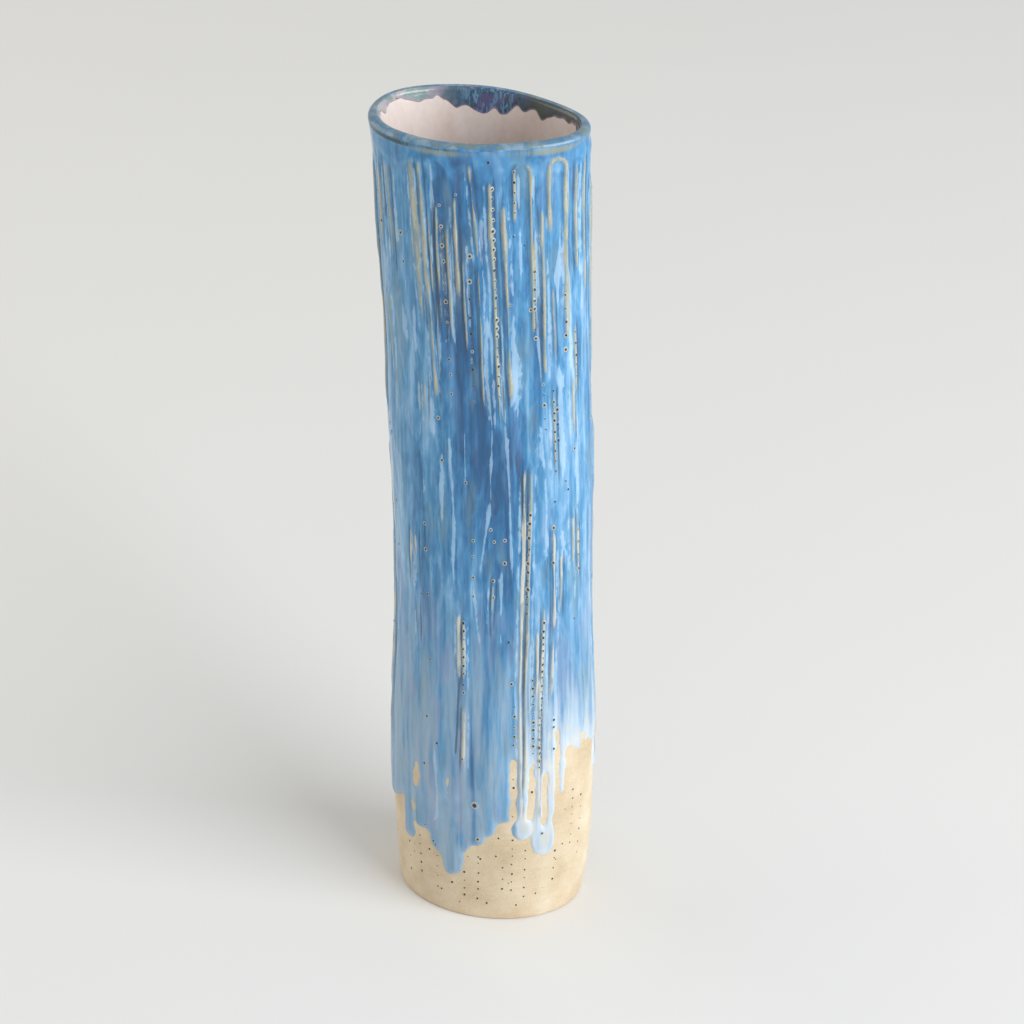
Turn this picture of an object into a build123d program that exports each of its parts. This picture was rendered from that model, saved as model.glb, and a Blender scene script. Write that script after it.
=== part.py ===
"""Slab-built oval bud vase in fired clay, glazed inside and out.

A rolled slab is wrapped into a tall oval tube and closed by a mitred side
seam. A base slab fits inside its foot, bonded by a ring of slip and a coil of
clay pressed into the corner. Three coats of glaze lie on the clay: a liner, a
band over the lip, and an outer coat that ran down and stopped in drips.

Millimetres, +Z up. The origin is the middle of the foot, on the surface that
the vase stands on. The long axis of the oval is X.
"""
from build123d import *
import math
import os

os.makedirs("parts", exist_ok=True)

# Heights, from the surface that the vase stands on
HEIGHT = 260.0
BELLY_HEIGHT = 46.0
WAIST_HEIGHT = 110.0
NECK_DROP = 22.0  # from the lip down to where the flare begins

# Oval outline of the bare clay: length along X and width along Y
FOOT_LENGTH = 58.4
FOOT_WIDTH = 45.1
BELLY_LENGTH = 63.6
BELLY_WIDTH = 48.3
WAIST_LENGTH = 60.2
WAIST_WIDTH = 44.2
NECK_LENGTH = 60.2
NECK_WIDTH = 41.6
LIP_LENGTH = 63.0
LIP_WIDTH = 43.4

# Sideways lean of the middle of the oval, along X
BELLY_LEAN = 0.9
WAIST_LEAN = 1.4
NECK_LEAN = -1.8
LIP_LEAN = -2.4

# The lip is egg-shaped: the share by which its -X end is fuller than an oval
LIP_EGG = 0.18

# Clay thicknesses
WALL = 3.6
LIP_WALL = 2.1
BASE_THICKNESS = 5.0
COIL_RADIUS = 5.0
FOOT_EDGE_RADIUS = 0.8

# Slip joints
SIDE_SEAM_ANGLE = 32.0  # round the oval from +X, at the narrow end of the lip
SIDE_SEAM_THICKNESS = 0.5
SIDE_SEAM_MITRE = 45.0
BASE_SEAM_THICKNESS = 0.5

# Glaze
OUTER_GLAZE = 0.5
LINER_GLAZE = 0.45
RIM_BAND = 9.0  # how far the lip's coat comes down, inside and out

# Lower edge of the outer coat: a sloping tide line, higher towards +X, with
# drips below it. Each drip is its angle round the oval, its width and the
# height at which it stopped.
TIDE_HEIGHT = 49.0
TIDE_SLOPE = 19.0
DRIP_CORNER = 2.6
DRIPS = [
    (-134.0, 6.5, 22.5),
    (-122.0, 8.0, 31.0),
    (-109.0, 11.0, 29.5),
    (-99.5, 7.0, 16.0),
    (-88.0, 9.0, 29.0),
    (-76.0, 11.0, 38.5),
    (-58.5, 6.5, 31.7),
    (-44.5, 7.5, 25.0),
    (-33.0, 3.4, 46.0),
    (8.0, 6.0, 47.0),
    (26.0, 7.0, 40.0),
    (52.0, 7.0, 30.0),
    (68.0, 6.0, 41.0),
    (84.0, 9.0, 27.0),
    (103.0, 7.5, 35.0),
    (121.0, 6.5, 21.0),
    (139.0, 8.0, 31.0),
    (161.0, 6.5, 25.0),
    (180.0, 7.0, 30.0),
    (202.0, 5.0, 32.0),
]

# How finely the oval and the height are divided
OUTLINE_POINTS = 16
SECTIONS = 16
MARGIN = 10.0  # how far a cutting solid reaches past what it cuts
CUT_SIDE = 4 * LIP_LENGTH  # side of the boxes that cut right across the vase

# Largest rounding, as a share of the thickness or the width that it rounds
ROUNDING = 0.45


def smooth(stations, z):
    """Monotone cubic curve through (height, value) stations, at height z."""
    heights = [h for h, _ in stations]
    values = [v for _, v in stations]
    steps = [b - a for a, b in zip(heights, heights[1:])]
    rises = [(b - a) / s for a, b, s in zip(values, values[1:], steps)]

    def end_slope(s0, s1, r0, r1):
        slope = ((2 * s0 + s1) * r0 - s0 * r1) / (s0 + s1)
        if slope * r0 <= 0:
            return 0.0
        if r0 * r1 < 0 and abs(slope) > abs(3 * r0):
            return 3 * r0
        return slope

    slopes = [end_slope(steps[0], steps[1], rises[0], rises[1])]
    for s0, s1, r0, r1 in zip(steps, steps[1:], rises, rises[1:]):
        if r0 * r1 <= 0:
            slopes.append(0.0)
        else:
            w0 = 2 * s1 + s0
            w1 = s1 + 2 * s0
            slopes.append((w0 + w1) / (w0 / r0 + w1 / r1))
    slopes.append(end_slope(steps[-1], steps[-2], rises[-1], rises[-2]))

    z = min(max(z, heights[0]), heights[-1])
    i = max(k for k in range(len(steps)) if heights[k] <= z)
    u = (z - heights[i]) / steps[i]
    return (
        values[i] * (2 * u**3 - 3 * u**2 + 1)
        + slopes[i] * steps[i] * (u**3 - 2 * u**2 + u)
        + values[i + 1] * (3 * u**2 - 2 * u**3)
        + slopes[i + 1] * steps[i] * (u**3 - u**2)
    )


def along_height(foot, belly, waist, neck, lip):
    """Stations of one measure, from the foot to the lip."""
    heights = [0.0, BELLY_HEIGHT, WAIST_HEIGHT, HEIGHT - NECK_DROP, HEIGHT]
    return list(zip(heights, [foot, belly, waist, neck, lip]))


LENGTHS = along_height(FOOT_LENGTH, BELLY_LENGTH, WAIST_LENGTH, NECK_LENGTH, LIP_LENGTH)
WIDTHS = along_height(FOOT_WIDTH, BELLY_WIDTH, WAIST_WIDTH, NECK_WIDTH, LIP_WIDTH)
LEANS = along_height(0.0, BELLY_LEAN, WAIST_LEAN, NECK_LEAN, LIP_LEAN)
WALLS = along_height(WALL, WALL, WALL, WALL, LIP_WALL)


def outline_point(z, angle, grow):
    """Point of the oval at height z, moved along the outline's normal by grow.

    x = a cos t and y = b sin t (1 - e cos t), where e grows towards the lip.
    """
    a = smooth(LENGTHS, z) / 2
    b = smooth(WIDTHS, z) / 2
    egg = LIP_EGG * z / HEIGHT
    cos_t = math.cos(angle)
    sin_t = math.sin(angle)
    x = a * cos_t
    y = b * sin_t * (1 - egg * cos_t)
    dx = -a * sin_t
    dy = b * (cos_t - egg * math.cos(2 * angle))
    size = math.hypot(dx, dy)
    return (smooth(LEANS, z) + x + grow * dy / size, y - grow * dx / size, z)


def oval_solid(grow, top):
    """Solid from the foot up to top, its outline grown by grow(z)."""
    turns = [2 * math.pi * j / OUTLINE_POINTS for j in range(OUTLINE_POINTS + 1)]
    faces = []
    for k in range(SECTIONS):
        z = top * k / (SECTIONS - 1)
        points = [outline_point(z, t, grow(z)) for t in turns[:-1]]
        outline = Edge.make_spline(points, periodic=True, parameters=turns)
        faces.append(Face(Wire([outline])))
    return Solid(loft(faces).wrapped)


def layer(low, high):
    """Everything between two heights, wider than the vase."""
    return Pos(0, 0, (low + high) / 2) * Box(CUT_SIDE, CUT_SIDE, high - low)


def bottom_edges(solid):
    return solid.edges().group_by(Axis.Z)[0]


def top_edges(solid):
    return solid.edges().group_by(Axis.Z)[-1]


def make_clay_tube(outside, bore):
    """The wall as one tube: a rounded lip and an eased foot edge."""
    tube = fillet(bottom_edges(outside), FOOT_EDGE_RADIUS) - bore
    return fillet(top_edges(tube), ROUNDING * LIP_WALL)


def seam_knife():
    """Thin upright plate that crosses the wall at the seam, at the mitre.

    The mitre turns it towards the long axis, so that it crosses the wall
    squarely enough at every height of a leaning vase.
    """
    angle = math.radians(SIDE_SEAM_ANGLE)
    outer = outline_point(HEIGHT / 2, angle, 0)
    inner = outline_point(HEIGHT / 2, angle, -WALL)
    facing = math.degrees(math.atan2(outer[1] - inner[1], outer[0] - inner[0]))
    reach = 2 * (WALL + abs(WAIST_LEAN) + abs(LIP_LEAN)) + MARGIN
    plate = Box(reach, SIDE_SEAM_THICKNESS, HEIGHT + 2 * MARGIN)
    middle = Pos((outer[0] + inner[0]) / 2, (outer[1] + inner[1]) / 2, HEIGHT / 2)
    return middle * Rot(0, 0, facing - SIDE_SEAM_MITRE) * plate


def drip_window(angle, width, stop):
    """Upright bar with rounded corners, from inside the vase out through its wall."""
    turn = math.radians(angle)
    x, y, _ = outline_point(TIDE_HEIGHT, turn, 0)
    outward = Vector(x, y, 0).normalized()
    across = Vector(0, 0, 1).cross(outward)
    top = TIDE_HEIGHT + LIP_LENGTH / 2 * math.tan(math.radians(TIDE_SLOPE)) + MARGIN
    inside_bore = FOOT_WIDTH / 4
    start = outward * inside_bore + Vector(0, 0, (top + stop) / 2)
    plane = Plane(origin=start, x_dir=across, z_dir=outward)
    corner = min(DRIP_CORNER, ROUNDING * width)
    return extrude(plane * RectangleRounded(width, top - stop, corner), LIP_LENGTH)


def make_outer_glaze(skin):
    """The coat above the tide line, joined one by one to the drips below it."""
    below = Box(CUT_SIDE, CUT_SIDE, HEIGHT, align=(Align.CENTER, Align.CENTER, Align.MAX))
    coat = skin - Pos(0, 0, TIDE_HEIGHT) * Rot(0, -TIDE_SLOPE, 0) * below
    for drip in DRIPS:
        coat = coat + (skin & drip_window(*drip))
    return coat


def keep(name, shape):
    """Write one node, and print what it is made of."""
    solids = list(shape.solids())
    body = solids[0] if len(solids) == 1 else Compound(children=solids)
    body.label = name
    export_step(body, f"parts/{name}.step")
    print(f"{name}: {len(solids)} solid(s), {body.volume:.1f} mm3")


def wall_at(z):
    return smooth(WALLS, z)


clay_top = HEIGHT - OUTER_GLAZE
outside = oval_solid(lambda z: 0.0, clay_top)
bore = oval_solid(lambda z: -wall_at(z), clay_top)
glazed_outside = oval_solid(lambda z: OUTER_GLAZE, HEIGHT)
glazed_bore = oval_solid(lambda z: -wall_at(z) - LINER_GLAZE, HEIGHT)

# Clay wall, and the slip in its side seam
clay_tube = make_clay_tube(outside, bore)
knife = seam_knife()
keep("wall_slab", clay_tube - knife)
keep("side_seam", clay_tube & knife)

# Base slab, the slip round it, and the coil in the corner above it
base_plug = oval_solid(lambda z: -wall_at(z) - BASE_SEAM_THICKNESS, clay_top)
base = base_plug & layer(-MARGIN, BASE_THICKNESS)
keep("base_slab", base)
keep("base_seam", (bore & layer(-MARGIN, BASE_THICKNESS)) - base)
cavity = bore & layer(BASE_THICKNESS, HEIGHT - RIM_BAND)
coved_cavity = fillet(bottom_edges(cavity), COIL_RADIUS)
keep("base_seam_coil", cavity - coved_cavity)

# Liner: on the floor, the coil and the wall, up to the lip's band
lined_cavity = glazed_bore & layer(BASE_THICKNESS + LINER_GLAZE, HEIGHT - RIM_BAND)
lined_cavity = fillet(bottom_edges(lined_cavity), COIL_RADIUS - LINER_GLAZE)
keep("liner_glaze", coved_cavity - lined_cavity)

# Lip band and outer coat
lip_round = ROUNDING * (LIP_WALL + OUTER_GLAZE + LINER_GLAZE)
glazed_tube = fillet(top_edges(glazed_outside - glazed_bore), lip_round)
rim = (glazed_tube & layer(HEIGHT - RIM_BAND, HEIGHT + MARGIN)) - clay_tube
keep("rim_glaze", rim)
skin = (glazed_outside & layer(0, HEIGHT - RIM_BAND)) - outside
keep("outer_glaze", make_outer_glaze(skin))
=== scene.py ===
"""Looks of the slab-built bud vase: clay, running glaze, lip, liner and needle pricks.

Every surface is worked out on a sheet unrolled from the vase: columns go round the oval by
the angle t, rows go up by the height z. Lengths are in millimetres until a mesh is made.
"""
import bpy
import math
import numpy as np
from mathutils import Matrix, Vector
from mathutils.bvhtree import BVHTree


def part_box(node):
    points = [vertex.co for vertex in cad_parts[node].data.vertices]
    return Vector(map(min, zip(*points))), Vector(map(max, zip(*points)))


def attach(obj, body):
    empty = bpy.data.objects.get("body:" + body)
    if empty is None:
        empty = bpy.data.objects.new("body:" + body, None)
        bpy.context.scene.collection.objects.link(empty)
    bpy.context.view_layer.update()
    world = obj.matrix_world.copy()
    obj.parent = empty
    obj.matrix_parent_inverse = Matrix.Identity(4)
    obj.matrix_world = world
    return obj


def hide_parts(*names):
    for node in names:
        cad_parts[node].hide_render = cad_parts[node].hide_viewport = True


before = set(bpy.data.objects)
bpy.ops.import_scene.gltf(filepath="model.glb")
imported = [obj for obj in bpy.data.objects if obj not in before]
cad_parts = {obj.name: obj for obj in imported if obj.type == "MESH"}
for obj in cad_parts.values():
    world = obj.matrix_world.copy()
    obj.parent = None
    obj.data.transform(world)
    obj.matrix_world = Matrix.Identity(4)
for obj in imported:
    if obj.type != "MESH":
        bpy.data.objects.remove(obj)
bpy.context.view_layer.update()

MM = 1000.0
FULL_TURN = 2 * math.pi
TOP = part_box("rim_glaze")[1].z * MM
BAND_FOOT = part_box("rim_glaze")[0].z * MM
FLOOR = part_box("liner_glaze")[0].z * MM
LIP_EGG = 0.18  # how the lines of equal angle follow the egg-shaped lip
GLAZE_THICK = 0.5
LINER_THICK = 0.45


def even_turns(count):
    """Angles at even steps round the vase."""
    return np.arange(count) * FULL_TURN / count


# The unrolled sheet
COLUMNS = 720
STEP = 0.5
ROWS = int(round(TOP / STEP)) + 1
turns = even_turns(COLUMNS)
heights = np.arange(ROWS) * STEP


# ---------------------------------------------------------------- measuring the CAD wall

def tree_of(*nodes):
    """Ray-casting tree of some CAD nodes."""
    corners = []
    faces = []
    for node in nodes:
        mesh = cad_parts[node].data
        mesh.calc_loop_triangles()
        spots = np.empty(3 * len(mesh.vertices), np.float32)
        mesh.vertices.foreach_get("co", spots)
        triangles = np.empty(3 * len(mesh.loop_triangles), np.int32)
        mesh.loop_triangles.foreach_get("vertices", triangles)
        faces += (triangles.reshape(-1, 3) + len(corners)).tolist()
        corners += spots.reshape(-1, 3).tolist()
    return BVHTree.FromPolygons(corners, faces)


def hit_distance(tree, origin, direction):
    """Distance along a ray to the first surface, in millimetres, or nan."""
    point, _, _, distance = tree.ray_cast(Vector(origin) / MM, Vector(direction))
    return distance * MM if point else math.nan


def directions(width_share, z, t):
    """Unit directions of the angle t: (cos t, share sin t (1 - egg cos t)), made unit long."""
    egg = LIP_EGG * z / TOP
    x = np.cos(t)
    y = width_share * np.sin(t) * (1 - egg * np.cos(t))
    size = np.hypot(x, y)
    return x / size, y / size


def smoother(z_to, z_from, reach):
    """Matrix that fits a straight line round each height, near heights counting most."""
    gap = z_from[None, :] - z_to[:, None]
    weight = np.exp(-0.5 * (gap / reach) ** 2)
    s0 = weight.sum(1, keepdims=True)
    s1 = (weight * gap).sum(1, keepdims=True)
    s2 = (weight * gap**2).sum(1, keepdims=True)
    return weight * (s2 - s1 * gap) / (s0 * s2 - s1**2)


def measured_sheets():
    """The clay's outside and the bore, as two sheets of points on the unrolled grid.

    At each of some levels, rays along X and Y give the middle and the shape of the oval.
    Rays at even angles then give both radii. The radii are kept as their first few
    harmonics round the oval and smoothed up the height. Rays from outside start far off.
    """
    levels = 74
    rays = 96
    harmonics = 9
    smooth_reach = 3.4
    far = 60.0
    tree = tree_of("wall_slab", "side_seam")
    z_rough = np.linspace(1.2, TOP - 2.0, levels)
    t_rough = even_turns(rays)
    rows = []
    for z in z_rough:
        right = far - hit_distance(tree, (far, 0, z), (-1, 0, 0))
        left = hit_distance(tree, (-far, 0, z), (1, 0, 0)) - far
        back = far - hit_distance(tree, ((right + left) / 2, far, z), (0, -1, 0))
        middle = (right + left) / 2
        share = 2 * back / (right - left)
        dx, dy = directions(share, z, t_rough)
        ways = list(zip(dx, dy))
        outer = [far - hit_distance(tree, (middle + far * a, far * b, z), (-a, -b, 0)) for a, b in ways]
        inner = [hit_distance(tree, (middle, 0, z), (a, b, 0)) for a, b in ways]
        rows.append((middle, share, outer, inner))
    middles, shares, outers, inners = (np.array(values) for values in zip(*rows))
    waves = rays // 2 + 1
    up = smoother(heights, z_rough, smooth_reach)
    middle = (up @ middles)[:, None]
    dx, dy = directions((up @ shares)[:, None], heights[:, None], turns[None, :])
    z = np.broadcast_to(heights[:, None], dx.shape)
    sheets = []
    for radii in (outers, inners):
        spectrum = np.zeros((levels, COLUMNS // 2 + 1), complex)
        spectrum[:, :waves] = np.fft.rfft(radii, axis=1) * (np.arange(waves) <= harmonics)
        radius = up @ np.fft.irfft(spectrum * (COLUMNS / rays), COLUMNS, axis=1)
        sheets.append(np.stack([middle + radius * dx, radius * dy, z], -1))
    return sheets


def outward(sheet):
    """Unit normals of a sheet: the way round crossed with the way up."""
    around = np.roll(sheet, -1, 1) - np.roll(sheet, 1, 1)
    up = np.gradient(sheet, axis=0)
    normal = np.cross(around, up)
    return normal / np.linalg.norm(normal, axis=2, keepdims=True)


clay_sheet, bore_sheet = measured_sheets()
mm_per_radian = np.linalg.norm(np.roll(clay_sheet, -1, 1) - np.roll(clay_sheet, 1, 1), axis=2)
mm_per_radian = mm_per_radian / (2 * turns[1])
GIRTH = float(mm_per_radian[ROWS // 2].mean() * FULL_TURN)


# ---------------------------------------------------------------- fields on the sheet

def ease(x, low, high):
    """0 below low, 1 above high, a smooth cubic step between."""
    u = np.clip((x - low) / (high - low), 0, 1)
    return u * u * (3 - 2 * u)


def cloud(seed, across, along):
    """Smooth random sheet: white noise blurred to across mm round and along mm up."""
    white = np.random.default_rng(seed).standard_normal((ROWS, COLUMNS))
    round_wave = np.fft.fftfreq(COLUMNS)[None, :] * COLUMNS / GIRTH
    up_wave = np.fft.fftfreq(ROWS)[:, None] / STEP
    keep = np.exp(-2 * (math.pi * across * round_wave) ** 2 - 2 * (math.pi * along * up_wave) ** 2)
    out = np.fft.ifft2(np.fft.fft2(white) * keep).real
    return out / out.std()


def sideways(t_middle):
    """Signed distance round the vase from the angle t_middle (one per height), in mm."""
    gap = (turns[None, :] - np.reshape(t_middle, (-1, 1)) + math.pi) % FULL_TURN - math.pi
    return gap * mm_per_radian


def beside(angle):
    """Signed distance round the vase from one angle in degrees, at every height, in mm."""
    return sideways(np.full(ROWS, math.radians(angle)))


def hill(distance, half, power=2.0):
    """Smooth bump: e to the minus (distance over half) to the power; high powers are squarer."""
    return np.exp(-np.abs(distance / half) ** power)


def spot(angle, at, half_width, half_height):
    """Signed distance in from the edge of an oval spot, in mm."""
    away = np.hypot(beside(angle) / half_width, (heights[:, None] - at) / half_height)
    return (1 - away) * half_width


def span(z_high, z_low, soft):
    """1 between two heights, easing to 0 within soft mm past each end."""
    z = heights[:, None]
    return ease(z, z_low - soft, z_low + soft / 2) * (1 - ease(z, z_high - soft / 2, z_high + soft / 4))


def stroke_middle(t_high, t_low, z_high, z_low, wander, seed):
    """Angle of a nearly upright stroke at each height, straight but for a little wander."""
    share = np.clip((z_high - heights) / (z_high - z_low), 0, 1)
    wave = np.random.default_rng(seed).normal(size=4)
    sway = sum(w * np.sin(heights / p + 7 * w) for w, p in zip(wave, (31.0, 17.0, 9.0, 5.5)))
    return np.radians(t_high + (t_low - t_high) * share + wander * sway * 0.4)


# Ridges left by the carving tool: angle at the top and at the bottom, the two heights,
# width, and the side on which glaze pooled (-1 left, 1 right, 0 both)
RIDGES = [
    (-114.5, -112.8, 255, 206, 1.9, 1), (-113.7, -113.7, 187, 178, 1.3, 1),
    (-109.5, -106.6, 255, 183, 1.9, 1), (-101.5, -101.5, 243, 206, 1.0, -1),
    (-91.4, -90.8, 245, 216, 1.6, 1), (-83.0, -80.5, 255, 228, 1.5, 1),
    (-80.5, -79.6, 224, 180, 1.2, -1), (-73.2, -71.8, 250, 178, 1.9, 1),
    (-66.4, -65.2, 243, 184, 1.9, -1), (-44.8, -44.2, 241, 191, 1.6, -1),
    (-38.6, -37.6, 216, 196, 1.1, 1), (-20.8, -20.2, 204, 183, 1.4, 1),
    (-23.6, -22.6, 187, 170, 1.3, 1), (-18.2, -17.6, 252, 222, 1.2, -1),
    (-9.0, -8.0, 254, 214, 1.6, 1), (-142.6, -143.2, 250, 226, 2.0, -1),
    (-140.6, -140.4, 211, 190, 1.8, -1), (-134.0, -132.8, 251, 222, 1.8, 1),
    (-128.6, -128.8, 136, 119, 1.6, -1), (-125.4, -125.0, 135, 121, 1.5, 1),
    (-125.2, -124.8, 112, 102, 1.2, 1), (-58.6, -61.8, 160, 84, 1.6, 1),
    (-61.8, -60.6, 86, 45, 1.2, 1), (-54.6, -57.8, 161, 100, 1.5, -1),
    (-57.8, -58.6, 102, 50, 1.1, -1), (-97.4, -97.0, 111, 90, 1.3, 1),
    (-94.2, -93.8, 109, 90, 1.2, -1), (-40.2, -40.8, 139, 107, 1.8, -1),
    (-35.2, -36.0, 131, 114, 1.5, 1), (-41.2, -42.0, 102, 84, 1.4, -1),
    (-25.2, -25.4, 143, 127, 1.8, 1), (-20.4, -20.2, 139, 123, 1.4, 1),
    (-51.2, -52.2, 106, 84, 1.5, 1), (-47.4, -48.6, 114, 84, 1.3, -1), (-39.4, -38.4, 185, 159, 1.6, 1),
    (-93.0, -92.4, 79, 60, 1.6, -1), (-105.4, -105.0, 240, 214, 1.1, 1), (-95.8, -95.4, 236, 205, 1.0, 1),
    (-88.0, -87.4, 232, 200, 1.0, -1), (-49.6, -49.2, 236, 212, 1.2, -1), (-28.0, -27.6, 238, 210, 1.1, 1),
    (-49.8, -50.4, 90, 40, 1.0, 1), (-77.2, -78.6, 123, 111, 1.1, 1),
]

# Hairpins, two ridges joined by an arch: middle angle, gap, top, the two lower ends, width
HAIRPINS = [
    (-55.9, 4.6, 254.0, 238, 204, 1.6), (-34.0, 4.9, 254.6, 234, 201, 1.9),
    (64.0, 4.8, 254.2, 226, 205, 1.7), (118.0, 4.4, 253.8, 240, 211, 1.6),
    (171.0, 4.8, 254.3, 233, 200, 1.8),
]

# Dark pooled grooves: angles, heights, width
GROOVES = [
    (-98.6, -97.8, 243, 199, 2.8), (-85.6, -85.0, 226, 184, 1.8), (-60.0, -59.6, 158, 47, 0.8),
    (-56.5, -59.6, 160, 84, 0.5), (-95.8, -97.4, 109, 62, 0.95), (-47.2, -49.4, 112, 40, 0.6),
    (-71.6, -70.8, 250, 182, 0.6), (-49.8, -49.4, 224, 203, 0.6), (-138.0, -138.2, 253, 233, 1.6),
    (-94.2, -93.8, 197, 188, 1.4), (-55.4, -58.6, 150, 100, 0.5), (-63.6, -62.8, 165, 158, 0.8),
    (-78.2, -79.0, 125, 104, 0.6), (-118.6, -118.0, 139, 130, 0.7),
]

# Milky runs: angles, heights, width
RUNS = [
    (-103.6, -104.2, 256, 182, 1.3), (-94.4, -94.0, 232, 200, 1.0), (-77.6, -77.2, 240, 150, 1.4),
    (-77.2, -84.2, 152, 128, 1.4), (-70.2, -68.8, 212, 172, 1.2), (-68.8, -65.4, 174, 118, 1.3),
    (-58.0, -57.6, 252, 222, 0.9), (-49.0, -48.4, 252, 186, 1.5), (-33.8, -33.6, 250, 166, 2.6),
    (-26.2, -25.6, 253, 190, 1.0), (-22.8, -19.6, 192, 166, 1.3), (-19.6, -20.4, 168, 146, 1.4),
    (-91.2, -92.2, 184, 160, 2.2), (-48.6, -46.2, 176, 158, 3.0), (-45.8, -45.4, 160, 130, 1.3),
    (-105.4, -106.0, 165, 142, 1.6), (-62.6, -62.2, 206, 182, 3.4), (-118.8, -118.2, 210, 150, 2.0),
    (-33.0, -32.4, 170, 128, 2.0), (-100.6, -100.2, 170, 120, 1.6), (-110.4, -110.2, 190, 160, 3.0),
    (-88.2, -84.4, 122, 100, 1.2), (-72.6, -73.0, 128, 104, 1.6), (-48.8, -48.8, 88, 38, 2.0),
    (-128.0, -127.6, 250, 180, 2.6), (-39.6, -40.2, 96, 40, 1.6), (-111.0, -110.6, 66, 34, 1.8),
]

# Broad pools (positive, darker) and pale places (negative): angle, height, half width,
# half height in mm, and depth of tone. The pale place at -150 degrees is painted light,
# a painted reflection of the light from the left on the far left side.
POOLS_AND_PAINTED_LIGHT = [
    (-83.0, 166.0, 10.0, 32.0, 0.26), (-92.5, 216.0, 4.5, 26.0, 0.20), (-74.0, 150.0, 6.0, 22.0, 0.10),
    (-90.0, 246.0, 12.0, 8.0, 0.14), (-100.0, 232.0, 3.5, 20.0, 0.14), (-60.0, 244.0, 6.0, 9.0, 0.06),
    (-101.0, 132.0, 5.0, 14.0, 0.09), (-62.0, 166.0, 4.0, 16.0, 0.07), (-80.0, 108.0, 3.5, 22.0, 0.12),
    (-66.0, 118.0, 5.0, 18.0, 0.08), (-50.0, 200.0, 4.0, 18.0, 0.07), (-87.0, 60.0, 2.5, 28.0, 0.16),
    (-76.0, 222.0, 3.0, 18.0, 0.07), (-118.0, 132.0, 2.0, 40.0, 0.10), (-97.0, 84.0, 2.0, 20.0, 0.08),
    (-128.0, 184.0, 7.0, 60.0, -0.06), (-112.0, 176.0, 3.5, 26.0, -0.10), (-62.0, 196.0, 4.0, 20.0, -0.12),
    (-24.0, 186.0, 9.0, 60.0, -0.05), (-33.0, 140.0, 8.0, 30.0, -0.05), (-72.0, 60.0, 5.0, 22.0, -0.10),
    # the first spot below, at -150 degrees, is painted light from the left
    (-150.0, 120.0, 9.0, 110.0, -0.12), (-8.0, 140.0, 8.0, 90.0, -0.08), (-106.0, 62.0, 7.0, 34.0, -0.07),
    (-56.0, 92.0, 5.0, 26.0, -0.10), (-112.0, 212.0, 3.0, 20.0, -0.06), (-90.0, 118.0, 2.0, 20.0, -0.04),
    (40.0, 170.0, 9.0, 34.0, 0.16), (84.0, 200.0, 6.0, 30.0, 0.14), (110.0, 140.0, 9.0, 36.0, 0.17),
    (150.0, 190.0, 8.0, 30.0, 0.15), (20.0, 90.0, 6.0, 26.0, -0.08), (70.0, 92.0, 8.0, 24.0, -0.10),
    (130.0, 84.0, 7.0, 24.0, -0.08), (178.0, 120.0, 8.0, 40.0, 0.10), (-90.0, 190.0, 9.0, 64.0, 0.06),
    (-60.0, 226.0, 3.6, 34.0, 0.09), (-47.0, 214.0, 3.6, 36.0, 0.09), (-98.0, 62.0, 7.0, 36.0, 0.03),
]

# Rows of needle pricks: angles, heights, pitch
PRICK_ROWS = [
    (-71.9, -71.4, 247, 184, 2.9), (-99.4, -97.6, 241, 183, 5.2), (-85.4, -85.2, 219, 181, 4.6),
    (-50.0, -50.0, 222, 201, 2.7), (-29.2, -28.8, 213, 196, 3.6), (-45.8, -45.0, 187, 172, 3.1),
    (-39.6, -38.6, 184, 158, 2.9), (-36.8, -36.4, 178, 168, 3.4), (-70.4, -70.4, 137, 130, 2.9),
    (-77.0, -77.2, 124, 118, 3.2), (-88.4, -88.4, 136, 117, 4.6), (-118.2, -118.0, 138, 129, 3.6),
    (-94.0, -93.6, 108, 84, 2.7), (-55.6, -58.0, 148, 112, 2.5), (-65.0, -64.9, 80, 38, 2.95),
    (-54.2, -53.6, 89, 40, 2.75), (-47.4, -49.4, 108, 66, 2.2), (-45.8, -44.6, 56, 38, 2.9),
    (-40.4, -41.0, 74, 56, 2.2), (-92.6, -92.2, 24, 8, 2.7), (-73.0, -72.6, 39, 32, 3.1),
    (-60.6, -60.2, 252, 240, 2.6), (-20.6, -20.2, 201, 186, 3.0), (-56.8, -55.8, 27, 9, 2.8),
    (-30.6, -31.0, 42, 26, 6.8), (-50.0, -50.2, 76, 58, 2.4), (-20.2, -20.0, 137, 124, 3.2),
    (-64.6, -64.2, 35, 12, 2.8), (-84.4, -84.2, 31, 8, 2.8), (-110.4, -110.2, 25, 9, 3.0),
    (-36.4, -36.6, 33, 14, 3.0), (-24.0, -24.0, 46, 26, 3.0), (-123.4, -123.2, 29, 12, 3.0),
    (-70.0, -69.4, 21, 12, 3.4), (-134.0, -133.8, 20, 10, 3.0), (-15.0, -15.2, 42, 20, 3.4),
]

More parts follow.
